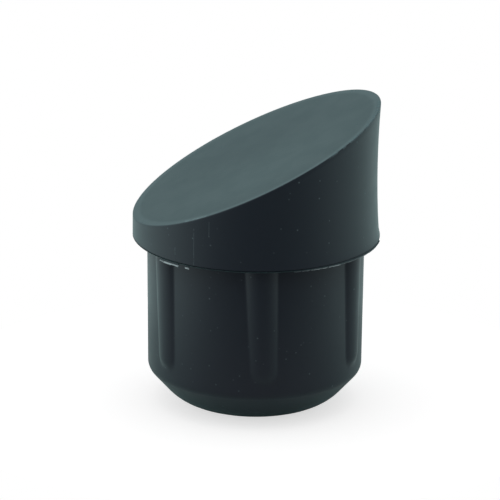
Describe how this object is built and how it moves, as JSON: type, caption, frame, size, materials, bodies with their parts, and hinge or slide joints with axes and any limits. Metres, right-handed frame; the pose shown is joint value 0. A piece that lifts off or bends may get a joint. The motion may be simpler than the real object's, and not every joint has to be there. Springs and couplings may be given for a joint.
{
  "type": "angled leg tip",
  "caption": "Black plastic plug tip for a leaning round tube leg: slanted floor face, shoulder that seats on the tube's end, and a ribbed shank that grips the bore.",
  "frame": {"origin": "centre of the shoulder, on the tube's axis, in the plane where the tube's end seats", "axes": "+Z along the tube's axis, from the tube out to the head; +X towards the tall side of the head, so the floor face rises towards +X; +Y completes the right-handed frame"},
  "size_m": [0.0254, 0.0254, 0.0321],
  "materials": {
    "plastic": "smooth moulded black plastic with a soft gloss"
  },
  "bodies": {
    "root": {"leg_tip": "plastic"}
  },
  "joints": []
}
